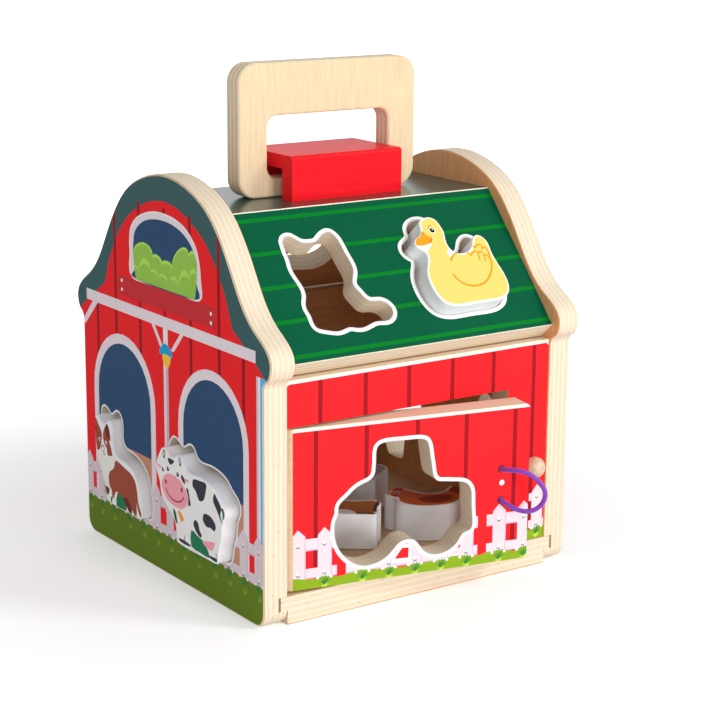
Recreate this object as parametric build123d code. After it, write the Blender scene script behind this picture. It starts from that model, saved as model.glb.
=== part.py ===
from build123d import *
import math
import os

# Toy barn that is also a shape sorter: two arched plywood gables carry a base, two walls and
# a three-panel roof.  The front wall holds a door on two steel pins, kept shut by an elastic
# loop over a ball knob.  Shape blocks pass through matching holes.
# Frame: origin at the middle of the footprint on the ground, +X along the front wall,
# -Y out through the door, +Z up.  All values are millimetres.

# ---- Driving dimensions ------------------------------------------------------------------
board = 12.0             # thickness of gables, walls and door
gable_edge = 0.8         # sanded round along a gable's outer edges
barn_width = 168.0       # over the outer faces of both gables
foot_depth = 164.0       # gable feet, front to back
gable_height = 187.0     # ground to the top of the arch
bulge_half_depth = 88.1  # tip of the eave bulge from the middle
bulge_height = 118.5     # tip of the eave bulge above the ground
notch_height = 107.2     # where the bulge meets the straight side
foot_radius = 7.0        # bottom corners of the gables
wall_setback = 1.0       # walls stand back from the gable edges
overcut = 1.0            # cutters run past the faces they pierce

base_board = 13.0        # base panel thickness
tongue_length = 3.5      # base tongue into each gable
tongue_height = 6.5
groove_extra = 1.2       # groove is deeper than the tongue is long

header_height = 20.9     # wall above the door opening
strip_width = 23.3       # wall strip to the right of the opening
eave_gap = 0.4           # top edge of the walls below the lowest edge of the roof

roof_board = 10.0
ridge_half_depth = 33.2  # flat top panel, half depth
roof_top_height = 173.2  # upper face of the flat top
eave_half_depth = 83.2   # lower outer edge of each slope
eave_height = 116.0

door_side_gap = 0.8      # door to gable, at the hinge side
door_free_gap = 0.9      # door to strip
door_level_gap = 1.1     # door to header, and door to base
door_hinge_radius = 4.0  # rounding of the hinge edge
door_corner_radius = 2.5
door_rest_angle = 11.0   # door stands ajar, degrees
pin_offset = 9.0         # pin axis from the gable's inner face
pin_radius = 2.0
pin_clearance = 0.05     # running fit of the pin in the door
pin_in_wall = 7.0
pin_in_door = 10.0
pin_tip_clearance = 1.0  # door bore is deeper than the pin

knob_radius = 5.0
knob_neck = 1.5          # gap between ball and wall
knob_dowel_radius = 2.0
knob_dowel_in_wall = 8.0
knob_dowel_in_ball = 4.0

cord_radius = 1.1
cord_hole_radius = 1.5
cord_hole_spacing = 14.6
cord_hole_inset = 14.0   # from the door's free edge
cord_longest_radius = 60.0  # cap on the bends that are almost straight
knot_radius = 2.8
knot_sink = 0.6          # how far the knot is flattened against the door

block_thickness = 17.0
block_edge = 0.5         # sanded round along a block's edges
block_clearance = 1.8    # block outline inside the hole outline
block_outline_points = 64  # points taken round a block's outline
block_drop_gap = 0.3     # seated block above the hole's lower edge
dog_block_proud = 4.8    # how far each seated gable block stands out of the gable
cow_block_proud = 6.5
roof_block_proud = 8.0   # seated roof block stands out of the roof
floor_gap = 0.3          # loose block above the base
horse_place = (-9.0, -30.0)  # X and Y of each loose block
hen_place = (32.0, -44.5)
rabbit_place = (22.0, 12.0)
horse_turn = -37.0       # and its turn in degrees
hen_turn = -12.0
rabbit_turn = 40.0

handle_width = 97.5
handle_height = 61.0
handle_board = 11.0
handle_corner = 9.0
handle_edge_radius = 1.2
handle_gap = 0.3         # handle above the roof
slot_width = 67.0
slot_bottom = 8.5        # height of the bar below the slot
slot_height = 28.5
slot_corner = 5.5

bracket_width = 60.6
bracket_depth = 41.6
bracket_height = 20.6
bracket_leg = 8.2
bracket_plate = 6.4
bracket_edge_radius = 1.8

dowel_radius = 3.0
dowel_in_gable = 8.0
dowel_in_panel = 12.0
dowel_low = 30.0         # heights of the dowels in the walls
strip_dowel_high = 82.0
back_dowel_high = 92.0
header_dowel_lift = 2.0  # above the middle of the header
slope_dowel_inset = 10.0  # from the top and bottom edges of a roof slope
top_dowel_offset = 16.0  # from the middle of the flat top

screw_shank_radius = 1.75
screw_head_radius = 3.5
screw_head_height = 2.2
screw_in_leg = 12.0
screw_spread = 20.0      # half distance between screws along a leg

# ---- Derived places ----------------------------------------------------------------------
half_width = barn_width / 2
inner_half_width = half_width - board
half_foot = foot_depth / 2
wall_front = -(half_foot - wall_setback)
wall_back = wall_front + board
wall_mid = (wall_front + wall_back) / 2
jamb_x = inner_half_width - strip_width

slope_run = eave_half_depth - ridge_half_depth
slope_drop = roof_top_height - eave_height
slope_length = math.hypot(slope_run, slope_drop)
slope_angle = math.atan2(slope_drop, slope_run)
mitre = roof_board * math.tan(slope_angle / 2)
wall_height = eave_height - roof_board * math.cos(slope_angle) - eave_gap
header_bottom = wall_height - header_height

pin_x = -inner_half_width + pin_offset
door_left = -inner_half_width + door_side_gap
door_right = jamb_x - door_free_gap
door_bottom = base_board + door_level_gap
door_top = header_bottom - door_level_gap
door_middle = (door_bottom + door_top) / 2

# ---- Hole outlines -----------------------------------------------------------------------
# Closed splines, counter-clockwise or clockwise, in the plane of the panel that they pierce.
# Left gable outlines: first value runs towards the front, second is height above the ground.
dog_outline = [(-51.5, 22.6), (-47.0, 22.3), (-35.0, 22.3), (-22.5, 22.3), (-17.6, 22.9), (-16.1, 26.0),
               (-16.6, 31.5), (-17.9, 38.6), (-21.4, 44.5), (-27.0, 48.2), (-34.8, 50.2), (-41.0, 51.2),
               (-44.0, 54.4), (-44.2, 61.0), (-46.0, 66.0), (-49.8, 67.2), (-54.8, 64.4), (-60.2, 67.0),
               (-63.6, 66.6), (-65.0, 61.5), (-64.6, 52.0), (-62.6, 43.5), (-57.4, 34.0), (-54.6, 27.5),
               (-53.6, 23.9)]
cow_outline = [(18.2, 22.5), (22.5, 22.1), (36.0, 22.0), (50.0, 22.1), (54.4, 22.9), (56.1, 25.8),
               (57.6, 31.5), (59.6, 37.5), (60.5, 43.2), (62.8, 48.2), (61.6, 52.2), (56.6, 55.8),
               (52.6, 59.0), (45.5, 61.6), (36.5, 62.2), (29.6, 62.0), (25.8, 63.8), (23.2, 67.0),
               (19.4, 67.6), (14.8, 65.3), (9.6, 67.0), (5.2, 67.8), (2.2, 64.8), (-1.4, 58.8),
               (-1.8, 54.6), (1.0, 49.0), (2.6, 43.0), (9.5, 36.8), (15.4, 31.6), (16.4, 24.6)]
# Right gable outlines: first value runs towards the front too.
rooster_outline = [(-44.0, 22.5), (-41.0, 22.2), (-35.6, 22.2), (-32.6, 23.0), (-31.4, 25.6),
                   (-30.4, 33.0), (-26.0, 40.0), (-18.6, 47.0), (-17.4, 57.0), (-20.6, 60.6),
                   (-26.5, 57.5), (-33.0, 52.0), (-40.0, 53.0), (-43.5, 60.0), (-48.0, 64.6),
                   (-53.5, 62.0), (-56.0, 57.0), (-61.0, 53.0), (-57.0, 47.5), (-56.0, 38.0),
                   (-50.0, 30.5), (-45.8, 24.8)]
sheep_outline = [(33.6, 40.6), (38.0, 39.9), (46.0, 39.8), (55.0, 39.9), (59.2, 41.0), (61.2, 47.0),
                 (63.0, 56.0), (61.0, 64.0), (55.5, 68.4), (48.5, 71.0), (42.0, 70.0), (36.5, 73.0),
                 (31.0, 70.0), (29.6, 62.5), (32.0, 57.0), (31.0, 48.0)]
# Front slope outlines: first value is X, second runs down the slope from the top edge.
cat_outline = [(-50.6, 17.8), (-49.0, 15.0), (-46.0, 14.3), (-43.9, 15.8), (-41.1, 18.0), (-37.2, 18.7),
               (-33.8, 18.4), (-30.7, 16.3), (-27.6, 14.6), (-25.1, 14.3), (-23.4, 15.8), (-22.0, 19.8),
               (-21.6, 24.4), (-20.9, 29.6), (-20.7, 33.0), (-21.6, 36.2), (-23.4, 39.2), (-24.1, 41.8),
               (-22.6, 46.0), (-20.6, 49.8), (-18.2, 51.1), (-14.2, 51.5), (-10.8, 53.6), (-9.8, 57.0),
               (-11.6, 60.1), (-15.2, 61.6), (-19.6, 61.2), (-24.6, 62.2), (-28.0, 63.1), (-31.4, 63.0),
               (-35.2, 62.1), (-38.2, 62.7), (-42.0, 63.2), (-45.2, 62.5), (-48.8, 61.4), (-51.2, 60.0),
               (-51.9, 57.8), (-51.8, 54.2), (-52.3, 50.8), (-51.9, 48.2), (-50.4, 45.2), (-49.6, 41.6),
               (-50.0, 38.0), (-51.2, 33.2), (-51.4, 29.6), (-50.9, 25.8), (-50.9, 22.0)]
duck_outline = [(16.0, 17.6), (18.2, 15.0), (21.6, 13.6), (25.4, 13.6), (28.6, 15.6), (30.4, 19.6),
                (30.8, 25.0), (29.8, 29.8), (31.2, 33.2), (34.6, 33.8), (38.4, 32.4), (40.6, 29.4),
                (42.8, 26.8), (46.4, 25.4), (50.0, 27.2), (52.2, 31.6), (52.0, 36.6), (52.6, 43.0),
                (53.6, 50.0), (52.8, 56.2), (49.8, 60.6), (44.6, 62.9), (36.0, 63.4), (26.0, 63.5),
                (17.0, 63.2), (11.6, 60.6), (8.6, 55.0), (7.8, 48.6), (9.2, 41.6), (12.0, 36.6),
                (12.6, 33.8), (10.2, 31.4), (8.9, 28.4), (9.9, 25.4), (13.0, 23.4), (15.2, 21.4)]
# Back slope outlines, the same way round.
hen_outline = [(-51.0, 40.0), (-46.0, 50.5), (-36.5, 55.0), (-25.0, 54.5), (-16.0, 47.5), (-10.6, 36.0),
               (-11.6, 28.0), (-15.0, 25.6), (-20.5, 29.5), (-27.5, 33.0), (-32.6, 28.5), (-36.5, 21.5),
               (-42.0, 19.0), (-47.0, 22.6), (-52.0, 27.5), (-51.4, 31.0), (-49.6, 34.5)]
rabbit_outline = [(19.5, 59.5), (31.0, 60.5), (42.5, 59.5), (47.0, 50.0), (43.4, 41.0), (41.6, 34.0),
                  (43.4, 26.0), (42.0, 18.6), (37.6, 16.6), (34.4, 22.0), (31.0, 29.5), (27.6, 22.0),
                  (24.4, 16.6), (20.0, 18.6), (18.6, 26.0), (20.4, 34.0), (18.6, 41.0), (15.0, 50.0)]
# Back wall outlines: X and height.
horse_outline = [(-51.8, 41.6), (-47.5, 41.2), (-35.0, 41.1), (-22.0, 41.2), (-18.0, 42.0),
                 (-16.6, 45.6), (-16.4, 54.0), (-15.4, 62.0), (-19.0, 66.4), (-31.0, 65.6),
                 (-38.0, 69.5), (-42.0, 77.0), (-47.0, 80.0), (-51.6, 74.5), (-56.5, 68.0),
                 (-55.0, 62.6), (-50.5, 61.6), (-52.0, 53.0), (-53.6, 44.0)]
pig_outline = [(16.0, 43.7), (20.0, 43.2), (34.0, 43.1), (47.5, 43.2), (51.6, 44.6), (54.0, 54.0),
               (55.4, 66.0), (50.0, 74.0), (36.0, 76.4), (26.0, 74.6), (21.8, 78.2), (17.4, 73.4),
               (11.6, 66.4), (12.6, 58.0), (15.2, 51.0)]
# Door outline: distance from the door's hinge-side edge, and height.
tractor_outline = [(43.3, 73.6), (44.6, 75.8), (47.6, 76.7), (54.0, 76.7), (60.9, 76.6), (65.0, 76.3),
                   (67.6, 75.1), (68.7, 72.6), (69.4, 68.2), (70.3, 63.0), (71.1, 58.9), (72.8, 56.4),
                   (76.6, 55.5), (81.8, 54.8), (85.8, 54.1), (88.6, 52.3), (90.0, 49.4), (90.3, 44.4),
                   (90.6, 39.4), (90.9, 35.6), (90.8, 33.0), (89.8, 31.2), (87.8, 30.5), (85.8, 29.5),
                   (84.0, 26.9), (81.0, 23.9), (76.2, 22.0), (71.2, 22.0), (67.5, 23.8), (64.8, 27.0),
                   (62.7, 29.5), (59.8, 30.6), (56.2, 30.3), (53.1, 28.2), (50.2, 25.2), (46.2, 22.6),
                   (41.6, 21.3), (37.2, 21.3), (33.0, 22.9), (28.6, 26.4), (25.5, 30.8), (23.8, 36.0),
                   (23.5, 40.2), (24.2, 44.2), (25.3, 47.0), (25.4, 49.4), (26.6, 51.6), (29.4, 53.9),
                   (32.2, 56.4), (36.0, 58.7), (40.2, 60.3), (42.2, 62.2), (42.9, 65.6), (43.1, 69.8)]

# ---- Planes of the panels ----------------------------------------------------------------
left_outer = Plane(origin=(-half_width, 0, 0), x_dir=(0, -1, 0), z_dir=(-1, 0, 0))
right_inner = Plane(origin=(inner_half_width, 0, 0), x_dir=(0, -1, 0), z_dir=(-1, 0, 0))
front_face = Plane(origin=(0, wall_front, 0), x_dir=(1, 0, 0), z_dir=(0, -1, 0))
back_face = Plane(origin=(0, -wall_back, 0), x_dir=(1, 0, 0), z_dir=(0, -1, 0))
front_slope = Plane(origin=(0, -ridge_half_depth, roof_top_height), x_dir=(1, 0, 0),
                    z_dir=(0, -math.sin(slope_angle), math.cos(slope_angle)))


board_cut = (-board - overcut, overcut)
roof_cut = (-roof_board - overcut, overcut)


def shape_face(points):
    """Closed smooth outline through the points."""
    return make_face(Spline(*points, periodic=True))


def prism(plane, points, low, high):
    """Closed outline swept between two distances along the plane's normal."""
    return extrude(plane.offset(low) * shape_face(points), amount=high - low)


def block_face(points):
    """Outline of the block that passes through the hole with the given outline."""
    rim = Wire(shape_face(points).face().outer_wire().offset_2d(-block_clearance, Kind.ARC).edges())
    steps = range(block_outline_points)
    return shape_face([rim.position_at(step / block_outline_points) for step in steps])


def eased(solid, radius):
    """Both flat faces of a board get a sanded round along their outer edges."""
    flats = solid.faces().sort_by(SortBy.AREA)[-2:]
    return fillet([edge for flat in flats for edge in flat.outer_wire().edges()], radius)


def shifted(points, across, up):
    return [(u + across, v + up) for u, v in points]


def down_slope(points):
    """Distances measured down the slope become heights on the slope's plane."""
    return [(u, -v) for u, v in points]


def cylinder_between(start, end, radius):
    axis = Vector(*end) - Vector(*start)
    place = Plane(origin=start, z_dir=axis)
    return extrude(place * Circle(radius), amount=axis.length)


# ---- Gables ------------------------------------------------------------------------------
# Points from the top of the arch down to the bulge: share of the bulge's half depth, and share
# of the rise from the bulge to the top.
arch_shares = [(0, 1), (0.2213, 0.9562), (0.42, 0.8365), (0.5675, 0.6423), (0.664, 0.4599),
               (0.7491, 0.3022), (0.8513, 0.1825), (0.9489, 0.1007), (1, 0)]
under_bulge = (0.41, 0.646)  # a point under the bulge: shares of the way from its tip to the notch
arch_rise = gable_height - bulge_height
arch_points = [(-bulge_half_depth * out, bulge_height + arch_rise * up) for out, up in arch_shares]
arch_points += [(-bulge_half_depth + under_bulge[0] * (bulge_half_depth - half_foot),
                 bulge_height - under_bulge[1] * (bulge_height - notch_height)),
                (-half_foot, notch_height)]
arch_tangents = ((-1, 0), (0.35, -1))


def gable_profile():
    """Arch, eave bulge, notch and straight foot in the YZ plane, symmetric about Z."""
    arch = Spline(*arch_points, tangents=arch_tangents)
    side = Line((-half_foot, notch_height), (-half_foot, foot_radius))
    corner = RadiusArc((-half_foot, foot_radius), (-half_foot + foot_radius, 0), -foot_radius)
    sole = Line((-half_foot + foot_radius, 0), (0, 0))
    half = Curve() + [arch, side, corner, sole]
    return make_face(half + mirror(half, about=Plane.YZ))


def gable_blank(inner_x, outer_x):
    """Gable board with the groove for the base tongue, open at the front and the back."""
    low, high = min(inner_x, outer_x), max(inner_x, outer_x)
    place = Plane(origin=(low, 0, 0), x_dir=(0, 1, 0), z_dir=(1, 0, 0))
    blank = eased(extrude(place * gable_profile(), amount=high - low), gable_edge)
    depth = tongue_length + groove_extra
    towards = math.copysign(1, outer_x - inner_x)
    groove = Pos(inner_x + towards * depth / 2, 0, base_board - tongue_height / 2) \
        * Box(depth, foot_depth + 2 * overcut, tongue_height)
    return blank - groove


# ---- Dowels that join walls and roof panels to the gables --------------------------------
def slope_point(distance, depth, side):
    """A point inside a roof slope: distance down it, depth below its face, side -1 is front."""
    y = ridge_half_depth + distance * math.cos(slope_angle) - depth * math.sin(slope_angle)
    z = roof_top_height - distance * math.sin(slope_angle) - depth * math.cos(slope_angle)
    return side * y, z


header_dowel_height = (header_bottom + wall_height) / 2 + header_dowel_lift
dowel_yz_back = [(-wall_mid, dowel_low), (-wall_mid, back_dowel_high)]
dowel_yz_right = [(wall_mid, dowel_low), (wall_mid, strip_dowel_high)] + dowel_yz_back
dowel_yz_left = [(wall_mid, header_dowel_height)] + dowel_yz_back
for side in (-1, 1):
    for distance in (slope_dowel_inset, slope_length - slope_dowel_inset):
        dowel_yz_right.append(slope_point(distance, roof_board / 2, side))
        dowel_yz_left.append(slope_point(distance, roof_board / 2, side))
    flat_top_dowel = (side * top_dowel_offset, roof_top_height - roof_board / 2)
    dowel_yz_right.append(flat_top_dowel)
    dowel_yz_left.append(flat_top_dowel)

dowels = []
for y, z in dowel_yz_right:
    dowels.append(((inner_half_width - dowel_in_panel, y, z), (inner_half_width + dowel_in_gable, y, z)))
for y, z in dowel_yz_left:
    dowels.append(((-inner_half_width + dowel_in_panel, y, z), (-inner_half_width - dowel_in_gable, y, z)))


def drill_dowels(panel):
    for start, end in dowels:
        panel = panel - cylinder_between(start, end, dowel_radius)
    return panel


left_gable = gable_blank(-inner_half_width, -half_width)
left_gable = left_gable - prism(left_outer, dog_outline, *board_cut)
left_gable = left_gable - prism(left_outer, cow_outline, *board_cut)
left_gable = drill_dowels(left_gable)

right_gable = gable_blank(inner_half_width, half_width)
right_gable = right_gable - prism(right_inner, rooster_outline, *board_cut)
right_gable = right_gable - prism(right_inner, sheep_outline, *board_cut)
right_gable = drill_dowels(right_gable)

# ---- Base panel --------------------------------------------------------------------------
base_slab = Pos(0, 0, base_board / 2) * Box(2 * inner_half_width, foot_depth, base_board)
base_tongue = Pos(0, 0, base_board - tongue_height / 2) \
    * Box(2 * (inner_half_width + tongue_length), foot_depth, tongue_height)
base_panel = base_slab + base_tongue

# ---- Walls -------------------------------------------------------------------------------
wall_level = (base_board + wall_height) / 2
wall_blank = Pos(0, wall_mid, wall_level) * Box(2 * inner_half_width, board, wall_height - base_board)
opening_level = (base_board + header_bottom) / 2
opening_centre_x = (jamb_x - inner_half_width) / 2
opening = Pos(opening_centre_x, wall_mid, opening_level) \
    * Box(jamb_x + inner_half_width, board + 2 * overcut, header_bottom - base_board)
front_wall = drill_dowels(wall_blank - opening)

back_wall = Pos(0, -wall_mid, wall_level) * Box(2 * inner_half_width, board, wall_height - base_board)
back_wall = back_wall - prism(back_face, horse_outline, *board_cut)
back_wall = back_wall - prism(back_face, pig_outline, *board_cut)
back_wall = drill_dowels(back_wall)

# ---- Roof --------------------------------------------------------------------------------
roof_profile_plane = Plane(origin=(-inner_half_width, 0, 0), x_dir=(0, 1, 0), z_dir=(1, 0, 0))


def slope_panel(side):
    """Roof slope with a mitred top edge and a square-cut eave; side -1 is the front."""
    corners = [
        (side * ridge_half_depth, roof_top_height),
        (side * eave_half_depth, eave_height),
        slope_point(slope_length, roof_board, side),
        (side * (ridge_half_depth - mitre), roof_top_height - roof_board),
    ]
    return extrude(roof_profile_plane * make_face(Polyline(*corners, close=True)),
                   amount=2 * inner_half_width)


top_corners = [
    (-ridge_half_depth, roof_top_height),
    (ridge_half_depth, roof_top_height),
    (ridge_half_depth - mitre, roof_top_height - roof_board),
    (-ridge_half_depth + mitre, roof_top_height - roof_board),
]
roof_top_panel = extrude(roof_profile_plane * make_face(Polyline(*top_corners, close=True)),
                         amount=2 * inner_half_width)
roof_top_panel = drill_dowels(roof_top_panel)

roof_front_panel = slope_panel(-1)
for outline in (cat_outline, duck_outline):
    roof_front_panel = roof_front_panel - prism(front_slope, down_slope(outline), *roof_cut)
roof_front_panel = drill_dowels(roof_front_panel)

roof_back_panel = slope_panel(-1)
for outline in (hen_outline, rabbit_outline):
    roof_back_panel = roof_back_panel - prism(front_slope, down_slope(outline), *roof_cut)
roof_back_panel = drill_dowels(mirror(roof_back_panel, about=Plane.XZ))

# ---- Door, hinge pins, elastic loop ------------------------------------------------------
door_axis = Axis((pin_x, wall_mid, 0), (0, 0, 1))


def ajar(solid):
    """Turn a piece that is drawn with the door shut to the door's rest angle."""
    return solid.rotate(door_axis, -door_rest_angle)


door_sketch = Plane.XY.offset(door_bottom) * Pos((door_left + door_right) / 2, wall_mid) \
    * Rectangle(door_right - door_left, board)
door = extrude(door_sketch, amount=door_top - door_bottom)
hinge_edges = door.edges().filter_by(Axis.Z).group_by(Axis.X)[0]
door = fillet(hinge_edges, door_hinge_radius)
free_corners = door.edges().filter_by(Axis.Y).group_by(Axis.X)[-1]
door = fillet(free_corners, door_corner_radius)
door = door - prism(front_face, shifted(tractor_outline, door_left, 0), *board_cut)
bore_depth = pin_in_door + pin_tip_clearance
bore_radius = pin_radius + pin_clearance
door = door - cylinder_between((pin_x, wall_mid, door_top - bore_depth),
                               (pin_x, wall_mid, door_top + overcut), bore_radius)
door = door - cylinder_between((pin_x, wall_mid, door_bottom - overcut),
                               (pin_x, wall_mid, door_bottom + bore_depth), bore_radius)
cord_x = door_right - cord_hole_inset
cord_levels = (door_middle + cord_hole_spacing / 2, door_middle - cord_hole_spacing / 2)
for level in cord_levels:
    door = door - cylinder_between((cord_x, wall_front - overcut, level),
                                   (cord_x, wall_back + overcut, level), cord_hole_radius)
door = ajar(door)

upper_pin = ((pin_x, wall_mid, door_top - pin_in_door), (pin_x, wall_mid, header_bottom + pin_in_wall))
lower_pin = ((pin_x, wall_mid, base_board - pin_in_wall), (pin_x, wall_mid, door_bottom + pin_in_door))
hinge_pins = Compound(children=[cylinder_between(*upper_pin, pin_radius),
                                cylinder_between(*lower_pin, pin_radius)])
front_wall = front_wall - cylinder_between(*upper_pin, pin_radius)
base_panel = base_panel - cylinder_between(*lower_pin, pin_radius)

# Elastic loop: offsets from the upper cord hole as (along the door, out of its face, height).
upper_level, lower_level = cord_levels
loop_route = [
    (0.0, -board, upper_level),
    (0.12, -5.2, upper_level - 0.12),
    (0.0, 1.5, upper_level),
    (1.4, 5.6, upper_level + 0.8),
    (4.2, 9.4, upper_level + 1.4),
    (8.6, 12.4, upper_level - 0.2),
    (12.8, 13.8, upper_level - 4.2),
    (15.6, 13.8, upper_level - 9.0),
    (15.0, 12.8, upper_level - 14.2),
    (11.6, 11.0, upper_level - 17.8),
    (7.0, 8.4, upper_level - 18.6),
    (2.9, 5.2, upper_level - 16.9),
    (0.0, 1.5, lower_level),
    (0.12, -5.2, lower_level + 0.12),
    (0.0, -board, lower_level),
]
loop_points = [Vector(cord_x + along, wall_front - out, level) for along, out, level in loop_route]
loop_radii = []
for before, corner, after in zip(loop_points, loop_points[1:], loop_points[2:]):
    arriving, leaving = corner - before, after - corner
    turn = math.radians(arriving.get_angle(leaving))
    shorter = min(arriving.length, leaving.length)
    loop_radii.append(min(0.45 * shorter / math.tan(turn / 2), cord_longest_radius))
loop_path = FilletPolyline(*loop_points, radius=loop_radii)
loop_section = Plane(origin=loop_points[0], z_dir=(0, -1, 0)) * Circle(cord_radius)
elastic_loop = sweep(loop_section, path=loop_path)
loop_volume_ratio = elastic_loop.volume / (math.pi * cord_radius ** 2 * loop_path.length)
elastic_loop = ajar(elastic_loop)


def knot(level):
    """Ball of a knot flattened where it bears on the back of the door."""
    ball = Pos(cord_x, wall_back + knot_radius - knot_sink, level) * Sphere(knot_radius)
    cut = Pos(cord_x, wall_back - knot_radius, level) \
        * Box(4 * knot_radius, 2 * knot_radius, 4 * knot_radius)
    return ajar(ball - cut)


elastic_knots = Compound(children=[knot(level) for level in cord_levels])

# ---- Knob --------------------------------------------------------------------------------
knob_x = jamb_x + strip_width / 2
knob_centre_y = wall_front - knob_neck - knob_radius
knob_dowel_ends = ((knob_x, wall_front + knob_dowel_in_wall, door_middle),
                   (knob_x, wall_front - knob_neck - knob_dowel_in_ball, door_middle))
knob_dowel = cylinder_between(*knob_dowel_ends, knob_dowel_radius)
latch_knob = Pos(knob_x, knob_centre_y, door_middle) * Sphere(knob_radius) - knob_dowel
front_wall = front_wall - knob_dowel

# ---- Shape blocks ------------------------------------------------------------------------
seat_drop = block_clearance - block_drop_gap


def seated_block(plane, outline, proud):
    """Block seated in its hole, standing proud of the panel's face and down on the hole's edge."""
    place = plane.offset(proud - block_thickness) * Pos(0, -seat_drop)
    return eased(extrude(place * block_face(outline), amount=block_thickness), block_edge)


dog_block = seated_block(left_outer, dog_outline, dog_block_proud)
cow_block = seated_block(left_outer, cow_outline, cow_block_proud)
duck_block = seated_block(front_slope, down_slope(duck_outline), roof_block_proud)


def loose_block(outline, place, turn):
    """Block lying flat on the base, its outline centred on the place given."""
    face = block_face(outline)
    middle = face.bounding_box().center()
    flat = eased(extrude(Pos(-middle.X, -middle.Y) * face, amount=block_thickness), block_edge)
    return Pos(*place, base_board + floor_gap) * Rot(0, 0, turn) * flat


horse_block = loose_block(horse_outline, horse_place, horse_turn)
hen_block = loose_block(down_slope(hen_outline), hen_place, hen_turn)
rabbit_block = loose_block(down_slope(rabbit_outline), rabbit_place, rabbit_turn)

# ---- Handle and its bracket --------------------------------------------------------------
handle_bottom = roof_top_height + handle_gap
handle_middle = handle_bottom + handle_height / 2
handle_outer = RectangleRounded(handle_width, handle_height, handle_corner)
slot_middle = slot_bottom + slot_height / 2 - handle_height / 2
handle_slot = Pos(0, slot_middle) * RectangleRounded(slot_width, slot_height, slot_corner)
handle_plane = Plane(origin=(0, -handle_board / 2, handle_middle), x_dir=(1, 0, 0), z_dir=(0, -1, 0))
handle = extrude(handle_plane * (handle_outer - handle_slot), amount=-handle_board)
handle_rims = handle.edges().group_by(Axis.Y)[0] + handle.edges().group_by(Axis.Y)[-1]
handle = fillet(handle_rims, handle_edge_radius)

bracket_bottom = roof_top_height
bracket_block = Pos(0, 0, bracket_bottom + bracket_height / 2) \
    * Box(bracket_width, bracket_depth, bracket_height)
bracket_block = fillet(bracket_block.edges().filter_by(Axis.X).group_by(Axis.Z)[-1], bracket_edge_radius)
tunnel_height = bracket_height - bracket_plate
tunnel = Pos(0, 0, bracket_bottom + tunnel_height / 2) \
    * Box(bracket_width + 2 * overcut, bracket_depth - 2 * bracket_leg, tunnel_height)
handle_bracket = bracket_block - tunnel

leg_middle = bracket_depth / 2 - bracket_leg / 2
screw_base = roof_top_height - roof_board
bracket_screws = []
for x in (-screw_spread, screw_spread):
    for y in (-leg_middle, leg_middle):
        tip = (x, y, bracket_bottom + screw_in_leg)
        shank = cylinder_between((x, y, screw_base), tip, screw_shank_radius)
        head = Pos(x, y, screw_base + screw_head_height / 2) \
            * Cone(screw_head_radius, screw_shank_radius, screw_head_height)
        bracket_screws.append(shank + head)
for screw in bracket_screws:
    roof_top_panel = roof_top_panel - screw
    handle_bracket = handle_bracket - screw

joint_dowels = Compound(children=[cylinder_between(*ends, dowel_radius) for ends in dowels])

# ---- Write the nodes ---------------------------------------------------------------------
nodes = {
    "left_gable": left_gable,
    "right_gable": right_gable,
    "base_panel": base_panel,
    "front_wall": front_wall,
    "back_wall": back_wall,
    "roof_front_panel": roof_front_panel,
    "roof_top_panel": roof_top_panel,
    "roof_back_panel": roof_back_panel,
    "joint_dowels": joint_dowels,
    "door": door,
    "hinge_pins": hinge_pins,
    "elastic_loop": elastic_loop,
    "elastic_knots": elastic_knots,
    "latch_knob": latch_knob,
    "knob_dowel": knob_dowel,
    "handle": handle,
    "handle_bracket": handle_bracket,
    "bracket_screws": Compound(children=bracket_screws),
    "dog_block": dog_block,
    "cow_block": cow_block,
    "duck_block": duck_block,
    "horse_block": horse_block,
    "hen_block": hen_block,
    "rabbit_block": rabbit_block,
}
for name, solid in nodes.items():
    export_step(solid, f"parts/{name}.step")
print("elastic loop radii", [round(radius, 1) for radius in loop_radii])
print("elastic loop length", round(loop_path.length, 1), "volume ratio", round(loop_volume_ratio, 4))
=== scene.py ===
import math
import random
from collections import Counter
import bpy
from mathutils import Matrix, Vector
from mathutils.geometry import delaunay_2d_cdt
from mathutils.kdtree import KDTree


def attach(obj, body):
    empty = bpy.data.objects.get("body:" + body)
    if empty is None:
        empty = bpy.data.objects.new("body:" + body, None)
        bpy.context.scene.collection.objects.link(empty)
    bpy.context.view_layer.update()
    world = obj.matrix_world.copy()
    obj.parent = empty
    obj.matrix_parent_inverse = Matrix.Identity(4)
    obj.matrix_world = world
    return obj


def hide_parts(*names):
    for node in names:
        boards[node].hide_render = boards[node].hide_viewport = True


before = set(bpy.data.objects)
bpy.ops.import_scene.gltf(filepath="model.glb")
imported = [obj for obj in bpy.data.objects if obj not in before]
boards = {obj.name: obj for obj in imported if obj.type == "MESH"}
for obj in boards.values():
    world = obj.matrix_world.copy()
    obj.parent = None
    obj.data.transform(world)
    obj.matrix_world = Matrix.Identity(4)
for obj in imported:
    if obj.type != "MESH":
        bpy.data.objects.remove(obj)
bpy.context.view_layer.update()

bpy.ops.object.select_all(action="DESELECT")

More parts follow.
